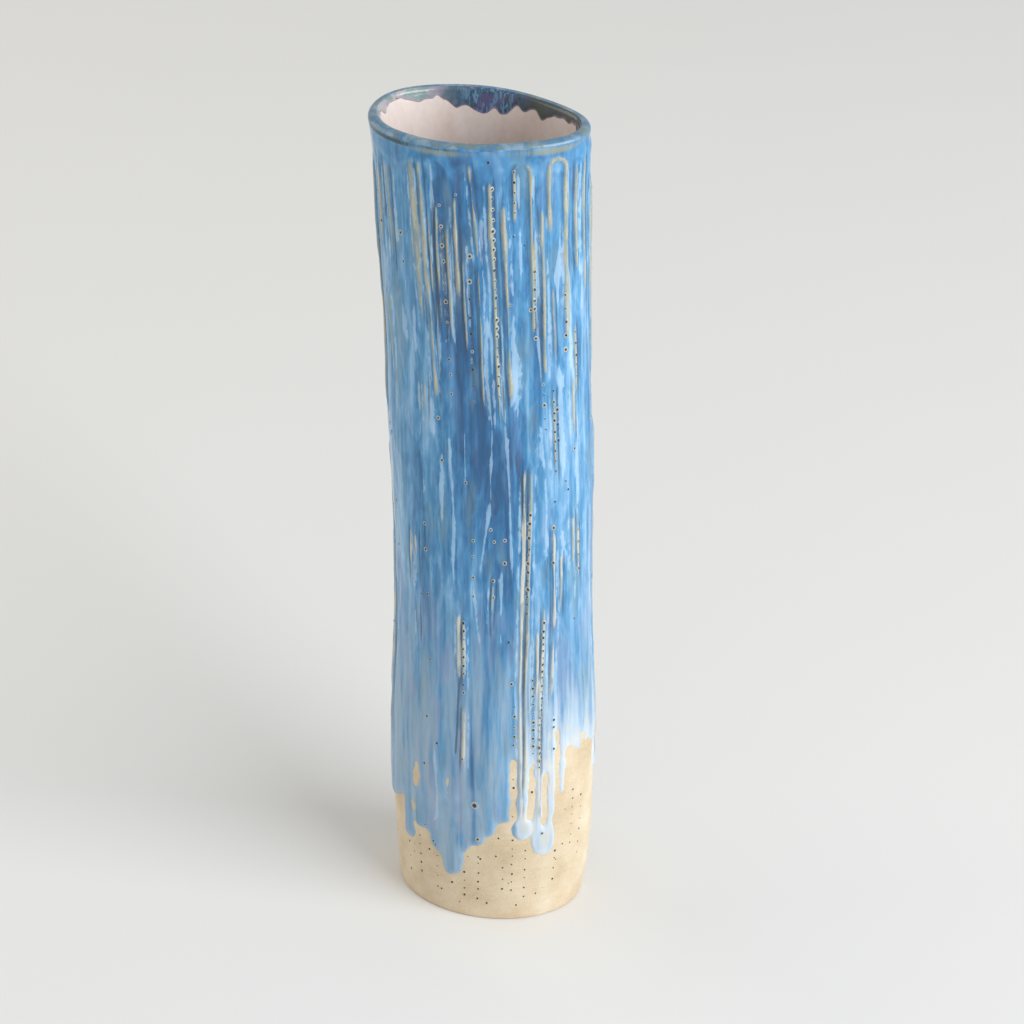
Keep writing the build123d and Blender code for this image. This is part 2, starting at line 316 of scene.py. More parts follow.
# Single pricks: angle and height
PRICKS = [
    (-73.6, 255.2), (-90.6, 245.2), (-61.2, 232.8), (-55.2, 230.0), (-84.6, 226.8), (-64.2, 212.0),
    (-105.2, 161.0), (-106.4, 174.6), (-91.6, 154.9), (-78.2, 140.0), (-76.4, 136.0), (-40.4, 139.4),
    (-39.2, 147.9), (-30.4, 153.8), (-28.6, 150.9), (-22.4, 163.6), (-41.2, 128.0), (-117.2, 114.6),
    (-122.2, 113.8), (-115.4, 92.2), (-68.4, 102.2), (-66.6, 88.0), (-116.4, 72.0), (-109.0, 63.8),
    (-93.2, 60.6), (-118.0, 54.6), (-124.4, 54.2), (-103.4, 52.6), (-86.4, 44.0), (-82.4, 29.2),
    (-83.0, 23.4), (-90.4, 23.6), (-107.6, 8.4), (-128.8, 20.8), (-129.4, 17.8), (-118.2, 31.2),
    (-116.0, 22.0), (-35.2, 21.2), (-38.0, 30.6), (-45.6, 23.4), (-47.0, 33.2), (-24.2, 107.0),
    (-124.0, 221.8), (-125.0, 230.4), (-52.6, 210.0), (-142.2, 231.4), (-74.0, 25.0), (-66.0, 14.6),
    (-100.4, 12.2), (-60.4, 5.8), (-112.0, 26.4), (-78.6, 6.4), (-48.0, 9.4), (-95.6, 5.2),
]


def stroke(t, sway, z_high, length):
    """Angles and heights of a stroke that starts at t and ends sway degrees to the side."""
    return t, t + sway, z_high, z_high - length


def add_far_side(rng):
    """Strokes and pricks for the side that faces away, in the same manner as the front."""
    t = 3.0
    far_end = 205.0
    while t < far_end:
        z_high = rng.uniform(243, 255)
        length = rng.uniform(12, 76)
        line = stroke(t, rng.normal(0, 1), z_high, length)
        RIDGES.append((*line, rng.uniform(0.9, 1.9), rng.choice([-1, 1])))
        if rng.random() < 0.5:
            z_mid = rng.uniform(95, 175)
            line = stroke(t + 2, rng.normal(0, 1.5), z_mid, rng.uniform(14, 60))
            RIDGES.append((*line, rng.uniform(1.1, 1.8), 1))
        if rng.random() < 0.45:
            z_run = rng.uniform(150, 254)
            line = stroke(t + 1.6, rng.normal(0, 1), z_run, rng.uniform(20, 60))
            GROOVES.append((*line, rng.uniform(0.5, 1.8)))
        for _ in range(2):
            z_run = rng.uniform(90, 256)
            line = stroke(t + rng.uniform(-3, 3), rng.normal(0, 2), z_run, rng.uniform(25, 80))
            RUNS.append((*line, rng.uniform(0.9, 2.8)))
        if rng.random() < 0.6:
            z_row = rng.uniform(30, 245)
            line = stroke(t + 1, rng.normal(0, 0.6), z_row, rng.uniform(9, 46))
            PRICK_ROWS.append((*line, rng.uniform(2.6, 3.6)))
        t += rng.uniform(3.8, 10.5)
    for _ in range(70):
        PRICKS.append((rng.uniform(0, 215), rng.uniform(5, 250)))


# Tongues of glaze: angle, width and the height at which each stopped
TONGUES = [
    (-134.4, 5.2, 22.3), (-124.0, 5.0, 29.0), (-116.0, 5.5, 30.0), (-109.0, 6.0, 27.0), (-100.4, 6.6, 15.8),
    (-92.0, 5.0, 28.0), (-86.0, 5.0, 28.6), (-80.0, 5.0, 36.0), (-72.6, 7.0, 38.2), (-68.6, 3.0, 45.0),
    (-58.6, 3.4, 33.5), (-61.4, 3.4, 32.8), (-55.8, 3.6, 32.2), (-58.6, 5.2, 31.6), (-49.6, 2.4, 28.0),
    (-47.8, 3.8, 25.6), (-43.4, 4.0, 24.9), (-40.6, 3.2, 26.0), (-33.6, 2.4, 46.0), (-30.8, 1.6, 52.0),
    (-150.0, 8.0, 34.5), (-158.0, 6.0, 31.5), (8.0, 4.6, 47.0), (26.0, 5.6, 40.0), (36.0, 3.0, 49.0),
    (52.0, 7.6, 30.0), (60.0, 4.0, 38.0), (70.0, 3.0, 45.0), (84.0, 7.0, 25.0), (79.0, 5.0, 33.0),
    (90.0, 5.0, 31.0), (103.0, 2.6, 44.0), (113.0, 5.0, 36.0), (121.0, 6.4, 21.0), (127.0, 5.4, 29.0),
    (139.0, 2.4, 38.0), (149.0, 7.2, 42.0), (159.0, 6.4, 27.0), (165.0, 5.4, 22.0), (171.0, 5.0, 33.0),
    (181.0, 2.8, 41.0), (190.0, 5.6, 30.0), (197.0, 4.4, 36.0),
]

# Swollen ends where glaze gathered: angle, height, half width and half height. The first
# few also have a thin round of glaze.
THIN_DROPS = 3
DROPS = [
    (-58.8, 35.6, 3.2, 4.0), (-46.8, 30.0, 3.2, 4.8), (-43.6, 30.4, 2.2, 4.4), (-100.4, 21.0, 3.3, 5.2),
    (-106.5, 27.5, 4.0, 5.0), (-94.5, 29.5, 3.0, 4.0), (-80.5, 37.0, 3.6, 4.6), (-134.2, 26.5, 2.6, 4.0),
    (84.0, 30.0, 3.9, 5.0), (121.0, 25.5, 3.6, 4.8), (165.0, 26.5, 3.1, 4.6), (52.0, 34.0, 4.2, 4.4),
]

# Bare strips that rise between the tongues: angle, width and top
BARE_STRIPS = [
    (-64.9, 2.4, 61.0), (-54.4, 1.6, 58.0), (-45.6, 1.7, 55.0), (-37.4, 1.5, 70.0), (-28.0, 3.0, 62.0),
    (-24.0, 3.6, 60.5), (-20.0, 3.0, 59.0), (-14.0, 3.6, 62.0), (-6.0, 3.2, 60.0), (16.0, 3.0, 62.0),
    (44.0, 2.6, 55.0), (74.0, 1.8, 52.0), (132.6, 2.0, 46.0), (98.0, 1.6, 50.0),
]

# Bare patches inside the glaze: angle, middle height, width, length
BARE_PATCHES = [(-126.6, 47.0, 2.3, 9.5), (-103.0, 48.6, 1.5, 6.0), (112.0, 55.0, 1.8, 7.0)]


RIDGE_HALF = 0.36  # half width of a ridge's hill, as a share of the ridge's width
SQUARISH = 2.4  # power of the hills with flat tops and steep sides
BROAD_RUN = 1.8  # milky runs wider than this are patchy


def soft_union(parts, blend):
    """Smooth maximum of signed distances: blend times the log of the sum of e to each / blend."""
    total = sum(np.exp(np.clip(p, -30, 12) / blend) for p in parts)
    return blend * np.log(total + 1e-12)


def glaze_cover():
    """Signed distance in from the lower edge of the outer coat, in mm, positive inside.

    A sloping tide line joined to upright tongues with round ends, less the bare strips and
    patches, joined to the swollen drops, with a slightly ragged edge.
    """
    tide_middle = 49.0
    tide_slope = 11.0
    z = heights[:, None]
    parts = [(z - (tide_middle + tide_slope * np.cos(turns)[None, :])) * 0.7]
    for angle, width, stop in TONGUES:
        middle = stroke_middle(angle, angle, 70, stop, 0.25, int(abs(angle) * 10))
        across = sideways(middle)
        below = np.minimum(z - (stop + width / 2), 0)
        narrowing = 0.14 * width * ease(z, stop + width, stop + 3 * width)
        parts.append(width / 2 - narrowing - np.hypot(across, below))
    cover = soft_union(parts, 0.9)
    holes = []
    for angle, width, top in BARE_STRIPS:
        middle = stroke_middle(angle, angle, top, 20, 0.3, int(abs(angle) * 7))
        across = sideways(middle)
        above = np.maximum(z - (top - width), 0) * 0.35
        holes.append(width / 2 - np.hypot(across, above))
    holes += [spot(angle, at, width / 2, length / 2) for angle, at, width, length in BARE_PATCHES]
    cover = -soft_union([-cover] + holes, 0.35)
    cover = soft_union([cover] + [spot(*drop) for drop in DROPS], 0.45)
    return cover + 0.20 * cloud(31, 0.7, 0.9) + 0.20 * cloud(32, 1.6, 3.6)


def make_fields():
    """Sheets of the ridges, the dark lines beside them, the open grooves and the milky runs.

    Each stroke is a hill across times a span along. A ridge has glaze pooled in a dark line
    on one side and a milky shoulder on the other. A hairpin is the distance to an arch with
    two legs.
    """
    z = heights[:, None]
    ridge = np.zeros((ROWS, COLUMNS))
    deep = np.zeros((ROWS, COLUMNS))
    groove = np.zeros((ROWS, COLUMNS))
    milk = np.zeros((ROWS, COLUMNS))
    worn = np.maximum(1 + 0.26 * cloud(42, 0.8, 2.6) + 0.26 * cloud(43, 1.5, 11.0), 0.25)
    for k, (t_high, t_low, z_high, z_low, width, side) in enumerate(RIDGES):
        across = sideways(stroke_middle(t_high, t_low, z_high, z_low, 0.3, 100 + k))
        there = span(z_high, z_low, 7)
        half = RIDGE_HALF * width
        ridge = np.maximum(ridge, there * hill(across, half * worn * (0.7 + 0.3 * there), SQUARISH))
        pool = hill(across - side * (half + 0.5), 0.42)
        deep = np.maximum(deep, 0.95 * span(z_high + 2, z_low - 4, 8) * pool)
        shoulder = hill(across + side * (half + 0.75), 0.55)
        milk = np.maximum(milk, 0.62 * span(z_high + 1, z_low - 6, 12) * shoulder)
    for k, (t_mid, gap, z_top, z_left, z_right, width) in enumerate(HAIRPINS):
        across = sideways(stroke_middle(t_mid, t_mid, z_top, min(z_left, z_right), 0.15, 300 + k))
        centre = z_top - gap / 2
        arch = np.abs(np.hypot(across, z - centre) - gap / 2)
        legs = np.abs(np.abs(across) - gap / 2)
        away = np.where(z > centre, arch, legs)
        low = np.where(across < 0, z_left, z_right)
        there = ease(z, low - 4, low + 2)
        half = RIDGE_HALF * width
        ridge = np.maximum(ridge, there * hill(away, half * worn, SQUARISH))
        deep = np.maximum(deep, 0.6 * there * hill(away - half - 0.6, 0.5) * (z < z_top - 3))
    for k, (t_high, t_low, z_high, z_low, width) in enumerate(GROOVES):
        across = sideways(stroke_middle(t_high, t_low, z_high, z_low, 0.3, 500 + k))
        strength = 1.0 if width < 1.0 else 0.74
        shape = hill(across, 0.42 * width + 0.1, SQUARISH)
        groove = np.maximum(groove, strength * span(z_high, z_low, 3) * shape)
    ragged = np.maximum(1 + 0.55 * cloud(41, 1.2, 3.4), 0.15)
    patchy = ease(cloud(44, 1.8, 6.0), -1.1, 0.5)
    for k, (t_high, t_low, z_high, z_low, width) in enumerate(RUNS):
        across = sideways(stroke_middle(t_high, t_low, z_high, z_low, 0.8, 700 + k))
        there = span(z_high, z_low, 10) * (patchy if width > BROAD_RUN else 1.0)
        milk = np.maximum(milk, 0.95 * there * hill(across, 0.34 * width * ragged, 1.6))
    return ridge, deep, groove, milk


def pool_and_painted_light_depth():
    """Sum of smooth spots from the list of pools, negative where the glaze is paler and at the one place of
    painted light from the left.
    """
    strength = 1.05
    out = 0
    for angle, at, wide, tall, depth in POOLS_AND_PAINTED_LIGHT:
        out = out + depth * hill(np.hypot(beside(angle) / wide, (heights[:, None] - at) / tall), 1.0)
    return strength * out


add_far_side(np.random.default_rng(20))
up = heights[:, None]
whole = np.ones((1, COLUMNS))
cover = glaze_cover()
ridge, deep, groove, milk = make_fields()
deep = np.maximum(deep * (1 - ridge), groove)

# The clay's skin is pushed in and out a little, less near the foot and not at the lip
undulation = 0.22 * cloud(11, 11.0, 16.0) + 0.10 * cloud(12, 4.0, 12.0)
rim_fade = 1 - ease(up, TOP - 6, TOP - 3)
clay_sheet = clay_sheet + outward(clay_sheet) * (undulation * ease(up, 0.5, 12.0) * rim_fade)[..., None]
clay_normal = outward(clay_sheet)
bore_normal = outward(bore_sheet)

# Thickness of the coat: a film that ends in a rounded edge, a swelling low down, and relief
FILM_THICK = GLAZE_THICK - 0.06
EDGE_ROUND = 0.35
ROLL_THICK = 0.24
film = FILM_THICK * (1 - np.exp(-np.maximum(cover, 0) / EDGE_ROUND)) + np.minimum(cover, 0) * 0.8
edge_roll = ROLL_THICK * ease(cover, -0.2, 3.2) * (1 - ease(up, 50, 85))
relief = 0.52 * ridge - 0.24 * groove - 0.10 * deep + 0.13 * milk + 0.05 * cloud(51, 0.6, 4.0)
relief = relief + 0.06 * cloud(52, 1.6, 14.0)
coat = film + edge_roll + relief * rim_fade * ease(cover, 0.0, 2.0)

# Glaze is thin low on one side, and at the drops that have a thin round
thin = (1 - ease(up, 50, 112)) * ease(np.cos(turns + math.radians(18)), 0.45, 0.95)[None, :]
for angle, at, half_width, _ in DROPS[:THIN_DROPS]:
    spread = np.hypot(beside(angle) / half_width, (up - at - 1) / 7.0)
    thin = np.maximum(thin, hill(spread, 1.0, 4))

# The olive band under the lip, broken here and there
band = hill(up - (TOP - 2.3) - 0.4 * cloud(61, 6.0, 5.0), 1.5)
band = band * (0.50 + 0.60 * ease(cloud(62, 7.0, 9.0), -0.9, 0.6))

FIELDS = {
    "ridge": ridge,
    "deep": deep,
    "milk": milk,
    "cream": (1 - ease(up, 130, 206)) * whole,
    "band": band,
    "thin": thin,
    "low": (1 - ease(up, 64, 128)) * whole,
    # darker pools, paler places, and one place of painted light from the left
    "pooled_and_painted_light": pool_and_painted_light_depth(),
    "calm": ease(up + 1.6 * cloud(63, 1.4, 6.0), TOP - 16, TOP - 7),
    "edge": np.exp(-np.maximum(cover, 0) / 1.6),
}


# ---------------------------------------------------------------- reading the sheets

def read(sheet, t, z):
    """Value of a sheet at angles t and heights z, between its four nearest points."""
    column = np.mod(t, FULL_TURN) / turns[1]
    row = np.clip(z / STEP, 0, ROWS - 1.0001)
    c0 = np.floor(column).astype(int) % COLUMNS
    c1 = (c0 + 1) % COLUMNS
    r0 = np.floor(row).astype(int)
    fc = column - np.floor(column)
    fr = row - r0
    if sheet.ndim == 3:
        fc = fc[..., None]
        fr = fr[..., None]
    low = sheet[r0, c0] * (1 - fc) + sheet[r0, c1] * fc
    high = sheet[r0 + 1, c0] * (1 - fc) + sheet[r0 + 1, c1] * fc
    return low * (1 - fr) + high * fr


def outside(t, z, lift):
    """Point lift mm out from the clay's outside."""
    return read(clay_sheet, t, z) + read(clay_normal, t, z) * np.asarray(lift)[..., None]


def inside(t, z, lift):
    """Point lift mm into the hollow from the wall's inner face."""
    return read(bore_sheet, t, z) - read(bore_normal, t, z) * np.asarray(lift)[..., None]


# ---------------------------------------------------------------- meshes

def put_mesh(name, points, faces, uv, attributes, material, replaced=()):
    """Mesh object from points in mm, faces as an array with 3 or 4 corners, and corner UVs."""
    mesh = bpy.data.meshes.new(name)
    count = len(faces)
    corners = faces.shape[1]
    mesh.vertices.add(len(points))
    mesh.vertices.foreach_set("co", (points / MM).astype(np.float32).ravel())
    mesh.loops.add(count * corners)
    mesh.loops.foreach_set("vertex_index", faces.astype(np.int32).ravel())
    mesh.polygons.add(count)
    mesh.polygons.foreach_set("loop_start", np.arange(count, dtype=np.int32) * corners)
    mesh.polygons.foreach_set("use_smooth", np.ones(count, bool))
    layer = mesh.uv_layers.new(name="OFBake")
    layer.data.foreach_set("uv", uv.astype(np.float32).ravel())
    for key, values in attributes.items():
        marks = mesh.attributes.new(key, "FLOAT", "POINT")
        marks.data.foreach_set("value", values.astype(np.float32).ravel())
    mesh.update()
    mesh.validate()
    piece = bpy.data.objects.new(name, mesh)
    bpy.context.scene.collection.objects.link(piece)
    mesh.materials.append(material)
    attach(piece, "root")
    if replaced:
        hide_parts(*replaced)


def quads(i, j, i1, j1, columns):
    """Quads of a grid, between rows i and i1 and between columns j and j1."""
    corners = np.broadcast_arrays(i * columns + j, i * columns + j1, i1 * columns + j1, i1 * columns + j)
    return np.stack(corners, -1).reshape(-1, 4)


def quad_uv(u0, u1, v0, v1):
    """Corner UVs of quads, from u0 to u1 and from v0 to v1."""
    u0, u1, v0, v1 = np.broadcast_arrays(u0, u1, v0, v1)
    return np.stack([u0, v0, u1, v0, u1, v1, u0, v1], -1).reshape(-1, 4, 2)


def grid_faces(rows, columns, close_rows=False):
    """Quads of a grid that is closed round its columns, with their corner UVs."""
    last = rows if close_rows else rows - 1
    i = np.arange(last)[:, None]
    j = np.arange(columns)[None, :]
    faces = quads(i, j, (i + 1) % rows, (j + 1) % columns, columns)
    return faces, quad_uv(j / columns, (j + 1) / columns, i / last, (i + 1) / last)


def drop_unused(points, faces, attributes):
    """Leaves out the points that no face uses."""
    used = np.zeros(len(points), bool)
    used[faces.ravel()] = True
    renumber = np.cumsum(used) - 1
    return points[used], renumber[faces], {k: v[used] for k, v in attributes.items()}


def lip_arc(outer, inner, rise, count):
    """Rows over a lip, between two edges: half an ellipse whose top stands rise above them."""
    middle = (outer + inner) / 2
    rows = []
    for a in np.linspace(0, math.pi, count)[1:-1]:
        row = middle + (outer - middle) * math.cos(a)
        row[:, 2] += rise * math.sin(a)
        rows.append(row)
    return rows


def steps(first, *stops):
    """Rising or falling values: the first, then on to each (end value, spacing)."""
    out = [np.array([float(first)])]
    for end, spacing in stops:
        start = out[-1][-1]
        count = max(1, int(round(abs(end - start) / spacing)))
        out.append(np.linspace(start, end, count + 1)[1:])
    return np.concatenate(out)


# ---------------------------------------------------------------- materials

class Finish:
    """A material's node tree, with short names for the few nodes that the finishes need."""

    def __init__(self, name):
        self.material = bpy.data.materials.new(name)
        self.material.use_nodes = True
        self.nodes = self.material.node_tree.nodes
        self.links = self.material.node_tree.links
        self.shader = self.nodes["Principled BSDF"]
        self.place = self.nodes.new("ShaderNodeTexCoord").outputs["Object"]

    def set(self, socket, value):
        """Joins a node's output to an input, or writes a plain value into it."""
        if isinstance(value, bpy.types.NodeSocket):
            self.links.new(value, socket)
        else:
            socket.default_value = value

    def attribute(self, name):
        """Value of a sheet that the mesh carries, 0 where it carries none."""
        node = self.nodes.new("ShaderNodeAttribute")
        node.attribute_name = name
        return node.outputs["Fac"]

    def noise(self, across, along, detail=4.0, rough=0.55, shift=0.0, warp=0.0):
        """Noise whose grains are about across mm wide and along mm tall."""
        mapping = self.nodes.new("ShaderNodeMapping")
        mapping.inputs["Location"].default_value = (shift, 2 * shift, 3 * shift)
        mapping.inputs["Scale"].default_value = (MM / across, MM / across, MM / along)
        self.links.new(self.place, mapping.inputs["Vector"])
        node = self.nodes.new("ShaderNodeTexNoise")
        node.inputs["Scale"].default_value = 1.0
        node.inputs["Detail"].default_value = detail
        node.inputs["Roughness"].default_value = rough
        node.inputs["Distortion"].default_value = warp
        self.links.new(mapping.outputs["Vector"], node.inputs["Vector"])
        return node.outputs["Fac"]

    def math(self, operation, a, b):
        """One step of arithmetic on two values."""
        node = self.nodes.new("ShaderNodeMath")
        node.operation = operation
        self.set(node.inputs[0], a)
        self.set(node.inputs[1], b)
        return node.outputs[0]

    def total(self, *terms):
        """Sum of (weight, value) pairs."""
        out = 0.0
        for weight, value in terms:
            out = self.math("ADD", self.math("MULTIPLY", value, weight), out)
        return out

    def frayed(self, name, loose, amount):
        """An attribute whose edges are frayed by amount of a loose noise round 0."""
        return self.math("ADD", self.attribute(name), self.math("MULTIPLY", loose, amount))

    def step(self, value, low, high):
        """0 below low, 1 above high, smooth between."""
        node = self.nodes.new("ShaderNodeMapRange")
        node.interpolation_type = "SMOOTHSTEP"
        self.set(node.inputs["Value"], value)
        node.inputs["From Min"].default_value = low
        node.inputs["From Max"].default_value = high
        return node.outputs["Result"]

    def mix(self, share, first, second):
        """Colour between first and second."""
        node = self.nodes.new("ShaderNodeMix")
        node.data_type = "RGBA"
        self.set(node.inputs[0], share)
        for socket, colour in ((node.inputs[6], first), (node.inputs[7], second)):
            self.set(socket, colour if isinstance(colour, bpy.types.NodeSocket) else (*colour, 1.0))
        return node.outputs[2]

    def paint(self, colour, mask, strength, over):
        """The colour with another laid over it where the mask is, at most strength thick."""
        return self.mix(self.math("MULTIPLY", mask, strength), colour, over)

    def ramp(self, value, *stops):
        """Colour along a row of (place, colour) stops."""
        node = self.nodes.new("ShaderNodeValToRGB")
        elements = node.color_ramp.elements
        while len(elements) < len(stops):
            elements.new(0.5)
        for element, (at, colour) in zip(elements, stops):
            element.position = at
            element.color = (*colour, 1.0)
        self.set(node.inputs["Fac"], value)
        return node.outputs["Color"]

    def bump(self, height, distance):
        """Fine relief of the shading, distance mm deep where the height goes from 0 to 1."""
        node = self.nodes.new("ShaderNodeBump")
        node.inputs["Strength"].default_value = 1.0
        node.inputs["Distance"].default_value = distance / MM
        self.set(node.inputs["Height"], height)
        self.set(self.shader.inputs["Normal"], node.outputs["Normal"])

    def surface(self, colour, uneven, spread, least):
        """Base colour, and a roughness of least plus spread times an uneven noise."""
        self.set(self.shader.inputs["Base Color"], colour)
        rough = self.math("ADD", self.math("MULTIPLY", uneven, spread), least)
        self.set(self.shader.inputs["Roughness"], rough)


# Colours of the glazes and the clay
BLUES = (
    (0.10, (0.012, 0.086, 0.215)), (0.29, (0.024, 0.148, 0.335)), (0.44, (0.054, 0.232, 0.450)),
    (0.57, (0.118, 0.318, 0.545)), (0.73, (0.240, 0.445, 0.680)), (0.94, (0.430, 0.610, 0.810)),
)
TEAL_GREY = (0.150, 0.255, 0.300)
LAVENDER = (0.250, 0.300, 0.480)
SLATE = (0.340, 0.420, 0.480)
MILK_BLUE = (0.370, 0.560, 0.780)
PALE_BLUE = (0.480, 0.620, 0.760)
PALE_FILM = (0.500, 0.605, 0.690)
CLAY_SHOWING = (0.600, 0.545, 0.455)
INK = (0.018, 0.042, 0.085)
INK_BLUE = (0.045, 0.095, 0.165)
TAN = (0.350, 0.345, 0.235)
CREAM = (0.560, 0.535, 0.440)
# painted highlight: lighter cream along the ridge crests, where light catches them
CREST_HIGHLIGHT_CREAM = (0.600, 0.575, 0.460)
OLIVE = (0.270, 0.280, 0.175)
LIP_BLUE = (0.085, 0.190, 0.300)
LIP_GREY = (0.235, 0.325, 0.400)
LIP_GREEN = (0.160, 0.185, 0.130)
LIP_LINE = (0.020, 0.055, 0.070)
SPILL_VIOLET = (0.085, 0.082, 0.200)
SPILL_BLUE = (0.034, 0.075, 0.135)
SPILL_GREEN = (0.050, 0.070, 0.045)
CRYSTAL_BLUE = (0.120, 0.270, 0.430)
WEAK_MAUVE = (0.420, 0.410, 0.430)
WEAK_GREEN = (0.235, 0.310, 0.310)
FRINGE_PINK = (0.430, 0.360, 0.440)
EDGE_BLUE = (0.310, 0.450, 0.590)
EDGE_WHITE = (0.640, 0.700, 0.770)
PRICK_RING = (0.560, 0.510, 0.400)
# painted shade: the dark colours of the prick holes, in glaze and in clay
PIT_SHADE_IN_GLAZE = (0.030, 0.020, 0.014)
PIT_SHADE_IN_CLAY = (0.060, 0.036, 0.020)
BUFFS = ((0.30, (0.500, 0.385, 0.240)), (0.50, (0.635, 0.525, 0.370)), (0.70, (0.745, 0.665, 0.520)))
IRON_SPECK = (0.150, 0.095, 0.050)
FOOT_BROWN = (0.560, 0.385, 0.240)
PINKS = ((0.30, (0.660, 0.545, 0.495)), (0.50, (0.730, 0.640, 0.600)), (0.70, (0.780, 0.725, 0.705)))


def glaze_finish(name):
    """Running blue glaze: a row of blues picked by a tone, then layers painted one over another.

    The tone is a weighted sum of upright noises, calmer under the lip and low down, less the
    pools and one place of painted light from the left. The layers are hues, milky runs, the
    thin coat, dark lines, ridges that break through pale with a painted highlight along their
    crests, the band, the lip, the spill inside, the lower edge and the pricks, whose holes are
    painted shade.
    """
    f = Finish(name)
    low = f.attribute("low")
    wide = f.noise(2.6, 46.0, 2.0, 0.50, 1.0, 0.2)
    streak = f.noise(0.80, 10.0, 2.0, 0.50, 5.0, 0.4)
    fleck = f.noise(0.45, 1.0, 3.0, 0.6, 9.0, 0.3)
    cloudy = f.noise(3.1, 11.0, 2.0, 0.45, 13.0, 1.0)
    curd = f.noise(1.9, 5.5, 2.0, 0.50, 37.0, 1.0)
    soft = f.noise(4.5, 6.0, 2.0, 0.45, 43.0, 0.8)
    hue = f.noise(5.0, 24.0, 3.0, 0.5, 21.0)
    thread = f.step(f.noise(1.25, 34.0, 2.0, 0.5, 27.0, 0.35), 0.545, 0.585)
    sheet = f.step(f.noise(3.0, 17.0, 3.0, 0.5, 29.0, 1.1), 0.53, 0.57)
    drop = f.step(f.noise(2.0, 12.0, 3.0, 0.55, 31.0, 0.9), 0.57, 0.60)
    fine = f.total((0.62, streak), (0.38, fleck))
    loose = f.math("SUBTRACT", fine, 0.5)

    high_tone = f.total((0.74, wide), (0.09, streak), (0.02, fleck), (0.43, cloudy), (0.07, curd),
                        (0.062, thread), (-0.065, sheet), (0.045, drop), (-0.220, 1.0))
    low_tone = f.total((0.40, wide), (0.06, streak), (0.01, fleck), (0.20, cloudy), (0.035, thread),
                       (-0.03, sheet), (0.152, 1.0))
    calm_tone = f.total((0.75, soft), (0.25, cloudy), (0.30, wide), (-0.200, 1.0))
    to_low = f.math("MULTIPLY", low, f.math("SUBTRACT", low_tone, high_tone))
    to_calm = f.math("MULTIPLY", f.attribute("calm"), f.math("SUBTRACT", calm_tone, high_tone))
    milk = f.total((1.0, f.attribute("milk")), (0.5, fine), (1.1, curd), (-0.80, 1.0))
    # less the pools and the one place of painted light from the left
    tone = f.total((1.0, high_tone), (1.0, to_low), (1.0, to_calm), (-1.0, f.attribute("pooled_and_painted_light")),
                   (0.10, f.step(milk, 0.10, 0.75)))

    colour = f.ramp(tone, *BLUES)
    colour = f.paint(colour, f.step(hue, 0.52, 0.68), 0.42, TEAL_GREY)
    lilac = f.math("ADD", f.math("MULTIPLY", low, 0.44), 0.12)
    colour = f.paint(colour, f.step(hue, 0.47, 0.34), lilac, LAVENDER)
    colour = f.paint(colour, low, f.step(wide, 0.30, 0.66), f.mix(0.62, colour, SLATE))
    colour = f.paint(colour, f.step(milk, 0.44, 0.62), 0.44, f.mix(curd, MILK_BLUE, PALE_BLUE))
    thin = f.total((1.0, f.attribute("thin")), (0.5, loose), (1.3, wide), (-0.65, 1.0))
    colour = f.paint(colour, f.step(thin, 0.20, 1.00), 0.80, PALE_FILM)
    show = f.total((1.0, f.attribute("thin")), (1.9, cloudy), (0.9, wide), (0.5, loose), (-1.4, 1.0))
    colour = f.paint(colour, f.step(show, 0.86, 1.12), 0.60, CLAY_SHOWING)
    deep = f.step(f.frayed("deep", loose, 1.4), 0.38, 0.90)
    colour = f.paint(colour, deep, 0.70, f.mix(fleck, INK, INK_BLUE))

    ridge = f.frayed("ridge", loose, 1.3)
    broken_and_crest_highlight = f.mix(f.attribute("cream"), TAN, CREAM)
    # painted highlight along the crest of each ridge, over the broken cream
    broken_and_crest_highlight = f.paint(broken_and_crest_highlight, f.step(ridge, 0.80, 1.15), 0.60, CREST_HIGHLIGHT_CREAM)
    broken_and_crest_highlight = f.paint(broken_and_crest_highlight, f.step(cloudy, 0.50, 0.62), 0.6, TEAL_GREY)
    colour = f.paint(colour, f.step(ridge, 0.36, 0.80), 0.86, broken_and_crest_highlight)

    colour = f.paint(colour, f.step(f.frayed("band", loose, 0.8), 0.30, 0.95), 0.80, OLIVE)
    lip = f.mix(f.step(hue, 0.44, 0.60), LIP_BLUE, LIP_GREY)
    lip = f.paint(lip, f.step(cloudy, 0.47, 0.60), 0.8, LIP_GREEN)
    colour = f.paint(colour, f.step(f.frayed("lip", loose, 0.5), 0.3, 0.8), 0.80, lip)
    colour = f.paint(colour, f.step(f.frayed("line", loose, 0.7), 0.35, 0.80), 0.90, LIP_LINE)

    inner = f.noise(5.5, 5.0, 3.0, 0.55, 41.0)
    feather = f.noise(0.7, 3.2, 3.0, 0.55, 47.0, 0.4)
    spill = f.mix(f.step(inner, 0.40, 0.52), SPILL_VIOLET, SPILL_BLUE)
    spill = f.paint(spill, f.attribute("green"), 0.85, SPILL_GREEN)
    spill = f.paint(spill, f.step(feather, 0.47, 0.62), f.attribute("crystal"), CRYSTAL_BLUE)
    spill = f.mix(f.attribute("weak"), spill, f.mix(f.step(inner, 0.42, 0.56), WEAK_MAUVE, WEAK_GREEN))
    spill = f.paint(spill, f.step(f.attribute("fringe"), 0.25, 0.95), 0.75, FRINGE_PINK)
    colour = f.mix(f.step(f.frayed("spill", loose, 0.9), 0.35, 0.75), colour, spill)

    pale_end = f.mix(f.step(f.attribute("thin"), 0.35, 0.9), EDGE_BLUE, EDGE_WHITE)
    colour = f.paint(colour, f.step(f.attribute("edge"), 0.15, 1.0), 0.55, pale_end)
    colour = f.mix(f.step(f.attribute("ring"), 0.3, 0.8), colour, f.mix(fleck, PRICK_RING, TEAL_GREY))
